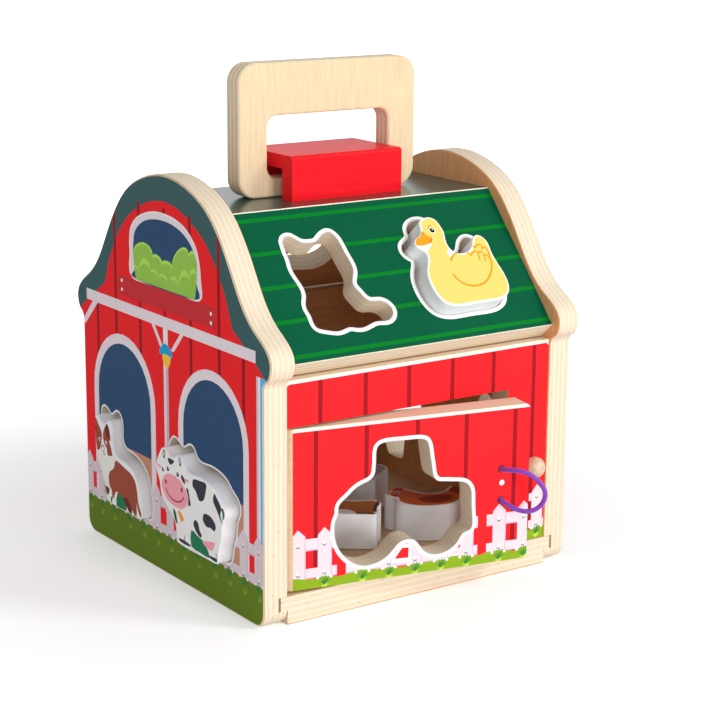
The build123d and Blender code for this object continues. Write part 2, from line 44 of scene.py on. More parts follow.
# ---- Camera ------------------------------------------------------------------------------
# The barn is seen from its left front corner, from a little above the roof, through a long
# lens that looks down by 14 degrees.
camera_place = Vector((-0.501956, -0.751496, 0.316022))
camera_yaw = math.radians(34.896)
camera_pitch = math.radians(13.933)
camera_roll = math.radians(0.494)
camera_ahead = Vector((math.sin(camera_yaw) * math.cos(camera_pitch),
                       math.cos(camera_yaw) * math.cos(camera_pitch),
                       -math.sin(camera_pitch)))
camera_side = Vector((math.cos(camera_yaw), -math.sin(camera_yaw), 0))
camera_top = camera_side.cross(camera_ahead)
view_right = math.cos(camera_roll) * camera_side + math.sin(camera_roll) * camera_top
view_up = math.cos(camera_roll) * camera_top - math.sin(camera_roll) * camera_side
camera_lens = bpy.data.cameras.new("camera")
camera_lens.sensor_width = 36
camera_lens.lens = 97.58
camera = bpy.data.objects.new("camera", camera_lens)
camera.matrix_world = Matrix.Translation(camera_place) @ Matrix(
    (view_right, view_up, -camera_ahead)).transposed().to_4x4()
bpy.context.scene.collection.objects.link(camera)
bpy.context.scene.camera = camera
bpy.context.scene.view_settings.view_transform = "Standard"

# ---- Elastic loop ------------------------------------------------------------------------
# A round elastic cord, purple polyester braid over rubber. Both ends go through holes near
# the door's free edge and are knotted behind it; the loop hooks over the knob on the wall.
wall_front = -81.0
pin_x, pin_y = -63.0, -75.0
door_ajar = math.radians(-11.0)
cord_x = 33.8
cord_high, cord_low = 57.86, 43.26
loop_route = [
    (0, -12, cord_high), (0.12, -5.2, cord_high - 0.12), (0, 1.5, cord_high),
    (1.4, 5.6, cord_high + 0.8), (4.2, 9.4, cord_high + 1.4), (8.6, 12.4, cord_high - 0.2),
    (12.8, 13.8, cord_high - 4.2), (15.6, 13.8, cord_high - 9.0), (15.0, 12.8, cord_high - 14.2),
    (11.6, 11.0, cord_high - 17.8), (7.0, 8.4, cord_high - 18.6), (2.9, 5.2, cord_high - 16.9),
    (0, 1.5, cord_low), (0.12, -5.2, cord_low + 0.12), (0, -12, cord_low),
]


def on_door(x, y, z):
    """A point of the shut door, in millimetres, where the door stands ajar, in metres."""
    along, out = x - pin_x, y - pin_y
    return Vector((pin_x + along * math.cos(door_ajar) - out * math.sin(door_ajar),
                   pin_y + along * math.sin(door_ajar) + out * math.cos(door_ajar), z)) / 1000


def paint(red, green, blue):
    """A colour as a paint chart gives it, 0 to 255, in the shader's own scale."""
    parts = []
    for part in (red, green, blue):
        part = part / 255
        parts.append(part / 12.92 if part <= 0.04045 else ((part + 0.055) / 1.055) ** 2.4)
    return (*parts, 1.0)


class Finish:
    """A material, with a short way to add shader nodes and to join them."""

    def __init__(self, name, **surface):
        self.material = bpy.data.materials.new(name)
        self.material.use_nodes = True
        self.tree = self.material.node_tree
        self.surface = self.tree.nodes["Principled BSDF"]
        for socket, value in surface.items():
            self.set(self.surface, socket.replace("_", " "), value)

    def set(self, piece, socket, value):
        """Sets a socket to a value or joins it to another one."""
        if isinstance(value, bpy.types.NodeSocket):
            self.tree.links.new(value, piece.inputs[socket])
        else:
            piece.inputs[socket].default_value = value

    def add(self, kind, sockets=(), out=0, **settings):
        """Adds a shader node and gives one of its outputs."""
        piece = self.tree.nodes.new("ShaderNode" + kind)
        for name, value in settings.items():
            setattr(piece, name, value)
        for socket, value in dict(sockets).items():
            self.set(piece, socket, value)
        return piece.outputs[out]

    def math(self, operation, first, second=0.0):
        return self.add("Math", {0: first, 1: second}, operation=operation)

    def between(self, amount, first, second):
        """Mixes two colours by an amount from 0 to 1."""
        return self.add("Mix", {0: amount, 6: first, 7: second}, 2, data_type="RGBA")

    def stretched(self, scale):
        """The piece's own coordinates, stretched along the grain."""
        place = self.add("TexCoord", out=3)
        return self.add("Mapping", {"Vector": place, "Scale": scale})

    def noise(self, place, scale, detail=3.0, roughness=0.5):
        """Fine marks at random."""
        return self.add("TexNoise", {"Vector": place, "Scale": scale, "Detail": detail,
                                     "Roughness": roughness})

    def spread(self, value, low, high, start=0.0, end=1.0):
        """Maps low to high onto start to end."""
        return self.add("MapRange", {0: value, 1: low, 2: high, 3: start, 4: end})

    def bump(self, height, strength, distance):
        self.set(self.surface, "Normal", self.add("Bump", {
            "Height": height, "Strength": strength, "Distance": distance}))


cord_curve = bpy.data.curves.new("elastic_cord", "CURVE")
cord_curve.dimensions = "3D"
cord_line = cord_curve.splines.new("NURBS")
cord_line.points.add(len(loop_route) - 1)
for point, (along, out, level) in zip(cord_line.points, loop_route):
    point.co = (*on_door(cord_x + along, wall_front - out, level), 1)
cord_line.order_u = 3
cord_line.use_endpoint_u = True
cord_curve.resolution_u = 8
cord_curve.bevel_depth = 0.0011
cord_curve.bevel_resolution = 6
cord_curve.use_fill_caps = True
elastic_cord = bpy.data.objects.new("elastic_cord", cord_curve)
bpy.context.scene.collection.objects.link(elastic_cord)
braid = Finish("elastic_braid", Roughness=0.55)
braid_cells = braid.add("TexVoronoi", {"Vector": braid.stretched((1, 1, 1)), "Scale": 1900})
braid.set(braid.surface, "Base Color",
          braid.between(braid_cells, paint(150, 62, 205), paint(96, 30, 150)))
braid.set(braid.surface, "Sheen Weight", 0.3)
braid.bump(braid_cells, 0.5, 0.0002)
cord_curve.materials.append(braid.material)
boards["elastic_knots"].data.materials[0] = braid.material
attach(elastic_cord, "door")
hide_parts("elastic_loop")

# ---- Floor and light ---------------------------------------------------------------------
# A plain white floor in an even white room, under three soft lamps: the main one in front on
# the right, one low in front, and a weaker one on the left.
bpy.ops.mesh.primitive_plane_add(size=8, location=(0, 0, -0.0001))
floor = bpy.context.object
floor.name = "floor"
floor_finish = Finish("floor_white", Roughness=0.7)
floor_finish.set(floor_finish.surface, "Base Color", paint(242, 242, 242))
floor_finish.set(floor_finish.surface, "Specular IOR Level", 0.2)
floor_finish.set(floor_finish.surface, "Emission Color", (1, 1, 1, 1))
floor_seen = floor_finish.add("LightPath")
floor_place = floor_finish.add("TexCoord", out=3)
floor_reach = floor_finish.add("VectorMath", {0: floor_place}, 1, operation="LENGTH")
floor_glow = floor_finish.spread(floor_reach, 0.15, 0.9, 0.3, 1.0)
floor_finish.set(floor_finish.surface, "Emission Strength",
                 floor_finish.math("MULTIPLY", floor_seen, floor_glow))
floor.data.materials.append(floor_finish.material)

room = bpy.data.worlds.new("room")
bpy.context.scene.world = room
room.use_nodes = True
room_light = room.node_tree.nodes["Background"]
ray = room.node_tree.nodes.new("ShaderNodeLightPath")
seen = room.node_tree.nodes.new("ShaderNodeMath")
seen.operation = "MAXIMUM"
room.node_tree.links.new(ray.outputs["Is Camera Ray"], seen.inputs[0])
room.node_tree.links.new(ray.outputs["Is Glossy Ray"], seen.inputs[1])
brightness = room.node_tree.nodes.new("ShaderNodeMapRange")
brightness.inputs["To Min"].default_value = 0.5
brightness.inputs["To Max"].default_value = 1.0
room.node_tree.links.new(seen.outputs[0], brightness.inputs["Value"])
room.node_tree.links.new(brightness.outputs[0], room_light.inputs["Strength"])
room_light.inputs["Color"].default_value = (1, 1, 1, 1)


def lamp(name, place, size, power):
    """A square soft lamp that looks at the middle of the barn."""
    light = bpy.data.lights.new(name, "AREA")
    light.size = size
    light.energy = power
    holder = bpy.data.objects.new(name, light)
    holder.location = place
    aim = Vector((0, 0, 0.09)) - Vector(place)
    holder.rotation_euler = aim.to_track_quat("-Z", "Y").to_euler()
    bpy.context.scene.collection.objects.link(holder)


lamp("front_lamp", (0.95, -1.2, 1.15), 0.45, 9.8)
lamp("low_lamp", (0.1, -1.4, 0.28), 0.4, 7.8)
lamp("left_lamp", (-0.8, -1.25, 0.55), 0.6, 3.6)

# ---- Plywood boards ----------------------------------------------------------------------
# Gables, walls, door and roof are birch plywood, sawn to shape and lightly sanded. The cut
# edges and the inside are bare; the plies show as bands on every edge. The inside is drawn a
# warmer, darker brown than the veneer, which is painted shade.
gable_face = 84.0
base_thickness = 13
board_make = (12, 9)        # thickness in millimetres, number of plies
base_make = (base_thickness, 9)
roof_make = (10, 7)
fold_half, fold_level = 33.2, 173.2
slope_rise, slope_run = 57.2, 50.0
slope_lean = math.atan2(slope_rise, slope_run)
front_slope_out = Vector((0, -math.sin(slope_lean), math.cos(slope_lean)))
back_slope_out = Vector((0, math.sin(slope_lean), math.cos(slope_lean)))
fold_front = Vector((0, -fold_half, fold_level))
fold_back = Vector((0, fold_half, fold_level))
door_out = Vector((math.sin(door_ajar), -math.cos(door_ajar), 0))


def dimmed(colour, share):
    """A share of a colour's light."""
    return paint(*[part * share for part in colour])


def plywood(name, outward, outer_face, thickness, plies, grain, light=(234, 221, 200),
            dark=(227, 208, 179), veneer=(226, 196, 158), inner_with_shade=(232, 172, 118)):
    """Plies across the board along outward; outer_face is a point of its outer side, in mm."""
    sheet = Finish(name, Roughness=0.55)
    sheet.set(sheet.surface, "Specular IOR Level", 0.25)
    glue_width, veneer_depth = 0.045, 0.35
    place = sheet.add("TexCoord", out=3)
    reach = sheet.add("VectorMath", {0: place, 1: tuple(outward)}, 1, operation="DOT_PRODUCT")
    level = Vector(outer_face).dot(Vector(outward)) / 1000 - thickness / 1000
    depth = sheet.math("MULTIPLY", sheet.math("SUBTRACT", reach, level), 1000 * plies / thickness)
    wander = sheet.math("SUBTRACT", sheet.noise(place, 60.0, 1.0), 0.5)
    depth = sheet.math("ADD", depth, sheet.math("MULTIPLY", wander, 0.35))
    odd = sheet.math("LESS_THAN", sheet.math("FRACT", sheet.math("MULTIPLY", depth, 0.5)), 0.5)
    glue = sheet.math("LESS_THAN", sheet.math("PINGPONG", depth, 0.5), glue_width)
    fibre = sheet.noise(sheet.stretched(grain), 900.0, 4.0, 0.65)
    speck = sheet.spread(sheet.noise(place, 420.0, 2.0), 0.60, 0.74)
    tone = sheet.spread(fibre, 0.3, 0.7)
    light_ply = sheet.between(tone, paint(*light), dimmed(light, 0.97))
    dark_ply = sheet.between(speck, paint(*dark), dimmed(dark, 0.92))
    edge = sheet.between(odd, dark_ply, light_ply)
    edge = sheet.between(sheet.math("MULTIPLY", glue, 0.3), edge, paint(150, 104, 66))
    outer_side = sheet.between(tone, paint(*veneer), dimmed(veneer, 0.9))
    # Inner side: by default a warmer, darker brown than the veneer, as painted shade inside the
    # barn.
    inner_side_with_shade = sheet.between(tone, paint(*inner_with_shade), dimmed(inner_with_shade, 0.86))
    within = sheet.math("LESS_THAN", depth, veneer_depth)
    without = sheet.math("GREATER_THAN", depth, plies - veneer_depth)
    colour = sheet.between(within, edge, inner_side_with_shade)
    sheet.set(sheet.surface, "Base Color", sheet.between(without, colour, outer_side))
    sheet.bump(fibre, 0.15, 0.0002)
    return sheet.material


grain_up = (1, 1, 0.06)
grain_along = (0.06, 1, 1)
for board, name, outward, outer_face, make, grain in (
        ("left_gable", "left_gable_ply", (-1, 0, 0), (-gable_face, 0, 0), board_make, grain_up),
        ("right_gable", "right_gable_ply", (1, 0, 0), (gable_face, 0, 0), board_make, grain_up),
        ("front_wall", "front_wall_ply", (0, -1, 0), (0, wall_front, 0), board_make, grain_along),
        ("back_wall", "back_wall_ply", (0, 1, 0), (0, -wall_front, 0), board_make, grain_along),
        ("door", "door_ply", door_out, on_door(0, wall_front, 0) * 1000, board_make, grain_along),
        ("base_panel", "base_ply", (0, 0, 1), (0, 0, base_thickness), base_make, grain_along),
        ("roof_front_panel", "front_slope_ply", front_slope_out, fold_front, roof_make, grain_along),
        ("roof_back_panel", "back_slope_ply", back_slope_out, fold_back, roof_make, grain_along),
        ("roof_top_panel", "roof_top_ply", (0, 0, 1), fold_front, roof_make, grain_along)):
    boards[board].data.materials[0] = plywood(name, outward, outer_face, *make, grain)

# ---- Printed left gable ------------------------------------------------------------------
# The outer face carries a screen print under clear lacquer: a plank barn wall with a dark
# arch band, a window, two doorways, a fence and grass. The ink is a film on the veneer.
ink_film = 0.12
inks = {
    "red": (252, 38, 44), "red_line": (160, 24, 34), "teal": (66, 100, 102),
    "frame": (244, 232, 238), "navy": (50, 82, 120), "ground": (206, 146, 120),
    "bush": (160, 208, 88), "bush_rim": (184, 236, 96), "board": (212, 52, 58),
    "lamp_blue": (26, 174, 228), "lamp_glow": (255, 212, 80), "sky_edge": (102, 186, 250),
    "post": (228, 208, 216), "fence": (228, 214, 221), "fence_shade": (212, 186, 208),
    "nail": (250, 250, 250), "nail_shade": (120, 120, 130), "meadow": (106, 132, 36),
    "tuft": (54, 132, 58), "tuft_soft": (138, 170, 54), "bud": (255, 236, 240),
    "hole_rim": (150, 24, 36), "white": (250, 250, 248), "white_shade": (222, 222, 226),
}


def smooth(points, steps=4, closed=True):
    """A soft line through the points."""
    count = len(points)
    line = []
    for index in range(count if closed else count - 1):
        before, start, end, after = [
            points[(index + shift) % count] if closed else
            points[min(max(index + shift, 0), count - 1)] for shift in (-1, 0, 1, 2)]
        for step in range(steps):
            t = step / steps
            line.append(tuple(
                0.5 * (2 * b + (c - a) * t + (2 * a - 5 * b + 4 * c - d) * t * t
                       + (3 * b - a - 3 * c + d) * t ** 3)
                for a, b, c, d in zip(before, start, end, after)))
    return line if closed else line + [points[-1]]


def disc(u, v, radius, sides=16, squash=1.0):
    """A round spot, or an oval one where squash isn't 1."""
    turns = [2 * math.pi * side / sides for side in range(sides)]
    return [(u + radius * math.cos(turn), v + radius * squash * math.sin(turn)) for turn in turns]


def bar(left, right, low, high):
    """An upright rectangle."""
    return [(left, low), (right, low), (right, high), (left, high)]


def rounded_bar(left, right, low, high, radius, ink, line_ink, line):
    """A field of ink whose upper corners are round, with a thin line round it."""
    drawn = []
    for colour, inset in ((line_ink, 0.0), (ink, line)):
        bend = radius - inset
        ring = [(left + inset, low), (right - inset, low)]
        for centre, start in ((right - radius, 0.0), (left + radius, 0.5)):
            for step in range(7):
                turn = math.pi * (start + step / 12)
                ring.append((centre + bend * math.cos(turn), high - radius + bend * math.sin(turn)))
        drawn.append((colour, ring))
    return drawn


def puffs(valleys, heights, lower=0.0, rounder=1.0):
    """A row of rounded humps from one valley to the next."""
    line = []
    for start, end, height in zip(valleys, valleys[1:], heights):
        for step in range(8):
            turn = math.pi * step / 8
            part = (1 - math.cos(turn)) / 2
            hump = height * rounder * math.sin(turn) - lower
            line.append((start[0] + (end[0] - start[0]) * part,
                         start[1] + (end[1] - start[1]) * part + hump))
    return line + [(valleys[-1][0], valleys[-1][1] - lower)]


def doorway(u, half, spring, foot):
    """A round-headed opening."""
    turns = [math.pi * step / 16 for step in range(17)]
    head = [(u + half * math.cos(turn), spring + half * math.sin(turn)) for turn in turns]
    return head + [(u - half, foot), (u + half, foot)]


def fence(pickets, spans, tip=41.2, shoulder=37.8, rails=((31.4, 36.8), (18.6, 23.4)), foot=13.0,
          half=3.1):
    """Pointed pickets on two rails, with a nail at each crossing."""
    shade = 0.7
    drawn = []
    for low, high in rails:
        for left, right in spans:
            drawn.append(("fence", bar(left, right, low, high)))
            drawn.append(("fence_shade", bar(left, right, low, low + shade)))
    for u in pickets:
        for ink, wider, taller in (("fence_shade", 0.5, 0.3), ("fence", 0, 0)):
            right = u + half + wider
            drawn.append((ink, [(u - half, foot), (right, foot), (right, shoulder),
                                (u, tip + taller), (u - half, shoulder)]))
        for low, high in rails:
            level = (low + high) / 2
            drawn.append(("nail_shade", disc(u, level - 0.35, 0.85, 10)))
            drawn.append(("nail", disc(u, level + 0.15, 0.7, 10)))
    return drawn


def meadow(left, right, top, foot, tufts, light_tufts, seed, turf="grass", light="tuft_light"):
    """Grass with a wavy top, light tufts, and dark tufts with two buds each."""
    dice = random.Random(seed)
    wave, shortest, longest = 0.8, 3.0, 6.0
    edge = []
    u = left
    while u < right:
        edge.append((u, top + dice.uniform(-wave, wave)))
        u += dice.uniform(shortest, longest)
    edge.append((right, top))
    drawn = [(turf, smooth(edge, closed=False) + [(right, foot), (left, foot)])]
    for u, v in light_tufts:
        for lean, reach in ((-2.6, 0.6), (-1.6, 1.9), (0, 2.5), (1.6, 1.9), (2.6, 0.6)):
            drawn.append((light, [(u - 0.3, v - 0.9), (u + 0.6 * lean - 0.25, v + 0.5 * reach),
                                  (u + lean, v + reach), (u + 0.6 * lean + 0.3, v + 0.3 * reach),
                                  (u + 0.3, v - 0.9)]))
    leaves = ((-3.5, 1.1), (-2.4, 2.7), (-0.9, 3.7), (0.9, 3.7), (2.4, 2.7), (3.5, 1.1))
    for u, v in tufts:
        for lean, reach in leaves:
            drawn.append(("tuft", [(u - 0.3, v - 1.2), (u + 0.6 * lean - 0.2, v + 0.55 * reach),
                                   (u + lean, v + reach), (u + 0.6 * lean + 0.35, v + 0.4 * reach),
                                   (u + 0.3, v - 1.2)]))
        for aside, above in ((-3.1, 2.3), (3.2, 2.2)):
            drawn.append(("bud", disc(u + aside, v + above, 0.75, 8)))
    return drawn


def flat_loops(node, corner, along, up, out):
    """Rim and holes of the flat side of a board, as loops of (along, up) in millimetres."""
    off_face, same_spot, least_extent = 0.02, 0.008, 1
    mesh = boards[node].data
    spots = [1000 * vertex.co for vertex in mesh.vertices]
    finder = KDTree(len(spots))
    for index, spot in enumerate(spots):
        if abs((spot - corner).dot(out)) < off_face:
            finder.insert(spot, index)
    finder.balance()
    firsts = {}
    open_sides = Counter()
    for face in mesh.polygons:
        for index in face.vertices:
            if index not in firsts:
                near = finder.find_range(spots[index], same_spot)
                firsts[index] = min([found[1] for found in near], default=None)
        ring = [firsts[index] for index in face.vertices]
        if None not in ring:
            for start, end in zip(ring, ring[1:] + ring[:1]):
                open_sides[(start, end)] += 1
                open_sides[(end, start)] -= 1
    rim = {}
    for (start, end), count in open_sides.items():
        if count > 0:
            rim.setdefault(start, []).extend([end] * count)
    loops = []
    while rim:
        start = min(rim)
        loop = [start]
        end = rim[start].pop()
        while end != start:
            loop.append(end)
            end = rim[end].pop()
        rim = {start: ends for start, ends in rim.items() if ends}
        loops.append([((spots[index] - corner).dot(along), (spots[index] - corner).dot(up))
                      for index in loop])

    def extent(loop):
        """Width and height of a loop, added up."""
        across = [u for u, v in loop]
        level = [v for u, v in loop]
        return max(across) - min(across) + max(level) - min(level)
    return sorted([loop for loop in loops if extent(loop) > least_extent], key=extent, reverse=True)


def turned_left(ring):
    """Whether a ring runs counter-clockwise."""
    ring = list(ring)
    return sum(a[0] * b[1] - b[0] * a[1] for a, b in zip(ring, ring[1:] + ring[:1])) > 0


def widened(loop, distance):
    """The loop thinned out a little and moved outwards by a distance."""
    spacing, last_spacing = 0.7, 0.4
    spaced = loop[:1]
    for spot in loop:
        if math.dist(spot, spaced[-1]) > spacing and math.dist(spot, loop[0]) > last_spacing:
            spaced.append(spot)
    loop = spaced
    outwards = distance if turned_left(loop) else -distance
    moved = []
    for before, spot, after in zip(loop[-1:] + loop[:-1], loop, loop[1:] + loop[:1]):
        lean = Vector((after[1] - before[1], before[0] - after[0]))
        if lean.length > 1e-9:
            lean.normalize()
            moved.append((spot[0] + lean.x * outwards, spot[1] + lean.y * outwards))
    return moved


def print_film(name, node, body, corner, along, up, drawn, base, rims=1.8, inside=None,
               border=1.2, finish=None):
    """Lays a drawing, as shapes from the bottom one up, on the flat side of a board."""
    corner, along, up = Vector(corner), Vector(along), Vector(up)
    out = along.cross(up)
    loops = flat_loops(node, corner, along, up, out)
    shapes = [(base, loops[0])]
    if inside:
        shapes.append((inside, widened(loops[0], -border)))
    shapes += drawn
    small_hole, small_rim, shaded_share = 10, 0.3, 0.35
    for loop in loops[1:]:
        if max(u for u, v in loop) - min(u for u, v in loop) > small_hole:
            shapes.append(("white", widened(loop, rims)))
            shapes.append(("white_shade", widened(loop, shaded_share * rims)))
        else:
            shapes.append(("hole_rim", widened(loop, small_rim)))
    shapes += [(None, loop) for loop in loops[1:]]
    spots, rings = [], []
    for ink, ring in shapes:
        rings.append(list(range(len(spots), len(spots) + len(ring))))
        spots += [Vector(spot) for spot in (ring if turned_left(ring) else ring[::-1])]
    inside_rings, weld = 1, 0.004
    flat, _, faces, _, _, owners = delaunay_2d_cdt(spots, [], rings, inside_rings, weld, True)
    tiles, tile_inks = [], []
    for face, owner in zip(faces, owners):
        ink = shapes[max(owner)][0] if 0 in owner else None
        if ink:
            tiles.append(list(face))
            tile_inks.append(paint(*inks[ink]))
    lift = out * ink_film
    count = len(flat)
    points = [corner + along * spot.x + up * spot.y + lift for spot in flat]
    points += [point - lift for point in points]
    edges = {edge: True for tile in tiles for edge in zip(tile, tile[1:] + tile[:1])}
    faces = tiles + [[index + count for index in reversed(tile)] for tile in tiles]
    colours = tile_inks * 2
    for start, end in edges:
        if (end, start) not in edges:
            faces.append([end, start, start + count, end + count])
            colours.append(paint(*inks["white"]))
    mesh = bpy.data.meshes.new(name)
    mesh.from_pydata([point / 1000 for point in points], [], faces)
    ink_layer = mesh.color_attributes.new("ink", "FLOAT_COLOR", "CORNER")
    for face, colour in zip(mesh.polygons, colours):
        for corner_index in face.loop_indices:
            ink_layer.data[corner_index].color = colour
    mesh.validate()
    film = bpy.data.objects.new(name, mesh)
    bpy.context.scene.collection.objects.link(film)
    film.select_set(True)
    bpy.context.view_layer.objects.active = film
    bpy.ops.object.mode_set(mode="EDIT")
    bpy.ops.mesh.select_all(action="SELECT")
    bpy.ops.mesh.delete_loose()
    bpy.ops.object.mode_set(mode="OBJECT")
    film.select_set(False)
    film.data.materials.append(finish or print_ink)
    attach(film, body)


def ink_finish(name, roughness, shine):
    """Reads each shape's ink and lets the veneer's fibres show a little."""
    ink = Finish(name, Roughness=roughness)
    colour = ink.add("Attribute", attribute_name="ink", attribute_type="GEOMETRY")
    fibre = ink.noise(ink.stretched((1, 1, 0.08)), 700.0)
    tone = ink.spread(fibre, 0.3, 0.75, 1.0, 0.95)
    toned = ink.add("VectorMath", {0: colour, "Scale": tone}, operation="SCALE")
    ink.set(ink.surface, "Base Color", toned)
    ink.set(ink.surface, "Specular IOR Level", shine)
    ink.bump(fibre, 0.15, 0.0002)
    return ink.material


print_ink = ink_finish("print_ink", 0.5, 0.05)

gable_middle = -0.9
plank_line = 1.15
band_half = [(57.1, 128.6), (54.3, 135.4), (51, 142.7), (46.4, 149.2), (40.7, 156.8), (32.5, 164.1),
             (23, 169.1), (12.1, 173.4), (0, 175.2)]
band_inner = [(85, 110.6), (74.6, 117.9)] + smooth(band_half, closed=False)
band_inner += [(2 * gable_middle - u, v) for u, v in reversed(band_inner)]


def planks(lines, top, half=plank_line):
    """Dark lines between upright planks."""
    return [("red_line", bar(u - half, u + half, 0, top)) for u in lines]


def window_print():
    """A round-headed window with bushes behind it, and a board with four nails under it."""
    window = [(-31.3, 135.5), (-33.5, 148), (-33.6, 153.9), (-31.6, 160), (-24, 165.7),
              (-10.2, 169.5), (4.5, 169.5), (16.8, 166.7), (25.3, 161.1), (29.3, 155),
              (31.2, 145.4), (29.5, 135.4), (0, 135.2)]
    pane = [(-27.9, 135.5), (-29, 140), (-29.8, 144.6), (-30.1, 149.2), (-28.4, 157.3),
            (-21.5, 162.8), (-11.6, 165.7), (0.6, 166.4), (11.9, 164.7), (20.4, 161), (25.7, 156.2),
            (27.5, 153.2), (28, 149.8), (27.5, 143), (25.9, 135.4)]
    drawn = [("white", smooth(window)), ("frame", widened(smooth(window), -0.8)),
             ("navy", smooth(pane))]
    hedge = [(-30, 147.5), (-11.4, 149), (-3, 147.4), (5.9, 147.4), (20.8, 154.9), (25.6, 156.4)]
    rise = (5.6, 1.9, 1.5, 5.2, 1.2)
    pane_sides = [(27.5, 153.2), (28, 149.8), (27.5, 143), (25.9, 135.4), (-27.9, 135.5), (-29, 140),
                  (-29.8, 144.6)]
    drawn += [("bush_rim", puffs(hedge, rise) + pane_sides),
              ("bush", puffs(hedge, rise, 1.7, 1.12) + pane_sides)]
    low_left = [(-29.6, 140.8), (-24.8, 139.9), (-13.8, 141), (-6.7, 139.7), (1.8, 139.6)]
    low_right = [(4.6, 140.4), (11.2, 139.2), (20.8, 143), (27.6, 146)]
    for valleys, rise in ((low_left, (1.6, 6.4, 2.8, 2.5)), (low_right, (3, 5.9, 4.8))):
        drawn.append(("bush_rim", puffs(valleys, rise) + puffs(valleys, rise, 0.5, 0.62)[::-1]))
    drawn.append(("board", bar(-45, 43.5, 125.5, 134.9)))
    for u, v in ((-41.8, 132.6), (-41.8, 128.3), (39.5, 131.8), (39.5, 127.7)):
        drawn.append(("nail", disc(u, v, 0.9, 10)))
    return drawn


def beam_print():
    """A light beam across the gable, with braces, a post in the middle and a lamp on it."""
    return [
        ("frame", bar(-78, 76, 117.4, 122.7)),
        ("frame", [(-71.4, 117.6), (-66.4, 117.6), (-80.2, 104.6), (-82.3, 106.6)]),
        ("frame", [(-13.9, 117.4), (-10.9, 117.4), (-3, 108), (-6, 108)]),
        ("frame", [(12.3, 117.4), (15.3, 117.4), (6.5, 108), (3.5, 108)]),
        ("frame", bar(-3.2, 1.1, 30, 117.5)),
        ("fence_shade", bar(-1, 1.1, 30, 99)),
        ("white", bar(-3, 0.2, 112, 117)),
        ("lamp_blue", smooth([(-6.8, 105), (-6, 107.6), (-2.5, 110), (0.6, 110), (4, 107.6),
                              (4.8, 105), (-1, 104.6)])),
        ("lamp_glow", smooth([(-3.8, 105), (-3.2, 101.2), (-0.4, 99.2), (2.4, 101.2), (3, 105)])),
    ]


def gable_print():
    """The whole gable: u runs towards the front, v up."""
    drawn = [("red", band_inner + [(-90, 0), (90, 0)])]
    inner_top, outer_top = 172, 118
    for u in (-66.7, -48, -24.5, -1.1, 21.9, 46.2, 66.2):
        drawn += planks([u], inner_top if abs(u) < 60 else outer_top)
    drawn += window_print() + beam_print()
    frame_half, opening_half = 30.3, 25.8
    for u in (-41.9, 39.8):
        drawn.append(("frame", doorway(u, frame_half, 76.2, 0)))
        drawn.append(("navy", doorway(u, opening_half, 76, 0)))
        drawn.append(("ground", bar(u - opening_half, u + opening_half, 0, 52)))
    strip_top = 112
    for ink, left, right in (("post", 76.5, 78), ("white", 78, 79.6), ("sky_edge", 79.6, 84)):
        drawn.append((ink, bar(left, right, 0, strip_top)))
    pickets = (-79.1, -67.3, -54.9, -39.5, -25.3, -11.8, 0.5, 12.9, 25.7, 40.4, 53, 65.2, 77.5)
    drawn += fence(pickets, [(-84, 84)], rails=((31.2, 36.6), (18.5, 23.3)))
    drawn += meadow(-84, 84, 19, -1, [(u, 16.8) for u in pickets],
                    [(u + 1, 12.6) for u in pickets], 3, "meadow", "tuft_soft")
    return drawn


print_film("left_gable_print", "left_gable", "barn", (-gable_face, 0, 0),
           (0, -1, 0), (0, 0, 1), gable_print(), base="teal", rims=1)

# ---- Printed right gable -----------------------------------------------------------------
# The same print the other way round, so that its corner strip is at the front as well. Its
# holes take a rooster and a sheep.
right_print = [(ink, [(-u, v) for u, v in ring]) for ink, ring in gable_print()]
print_film("right_gable_print", "right_gable", "barn", (gable_face, 0, 0),
           (0, 1, 0), (0, 0, 1), right_print, base="teal", rims=1)

# ---- Printed front wall ------------------------------------------------------------------
# One board makes the header over the door and the strip at its right, which holds the knob.
# It is printed with red planks inside a sanded bare edge, inked paler than the veneer as a
# painted highlight on its eased rim; fence and grass run over the strip.
# The bare border's ink is paler than the veneer: bare wood with a painted highlight.
inks.update({"bare_and_highlight": (248, 236, 212), "grass": (138, 172, 36), "tuft_light": (190, 222, 74)})
wall_field = (-72.5, 72.5, 8, 107.7)
wall_plank_top = 107.3
field_edge = 0.35
wall_print = rounded_bar(*wall_field, 2.5, "red", "frame", field_edge)
wall_print += planks((-54.8, -31.2, -7.8, 16.2, 39.7, 63.5), wall_plank_top)
wall_print += fence((67.6,), [(62.8, 72)], tip=39.2, shoulder=36,
                    rails=((31.8, 35.6), (18.5, 22.3)))
wall_print += meadow(48, 73, 18.3, 12, [(67.5, 16.4), (52.5, 16.2)], [(67.5, 14.4)], 5)
print_film("front_wall_print", "front_wall", "barn", (0, wall_front, 0), (1, 0, 0),
           (0, 0, 1), wall_print, base="bare_and_highlight", rims=0)

# ---- Printed back wall -------------------------------------------------------------------
# The back is one plywood board, dowelled between the gables and printed like the front, with
# planks, fence and grass. Its holes take a horse and a pig.
back_print = rounded_bar(*wall_field, 2.5, "red", "frame", field_edge)
back_print += planks(range(-59, 72, 24), wall_plank_top)
back_pickets = [-67 + 12.2 * number for number in range(12)]
back_print += fence(back_pickets, [(-72, 72)])
back_print += meadow(-73, 73, 18.6, 12, [(x, 16.4) for x in back_pickets],
                     [(x + 6, 14.8) for x in back_pickets], 7)
print_film("back_wall_print", "back_wall", "barn", (0, -wall_front, 0), (-1, 0, 0),
           (0, 0, 1), back_print, base="bare_and_highlight")

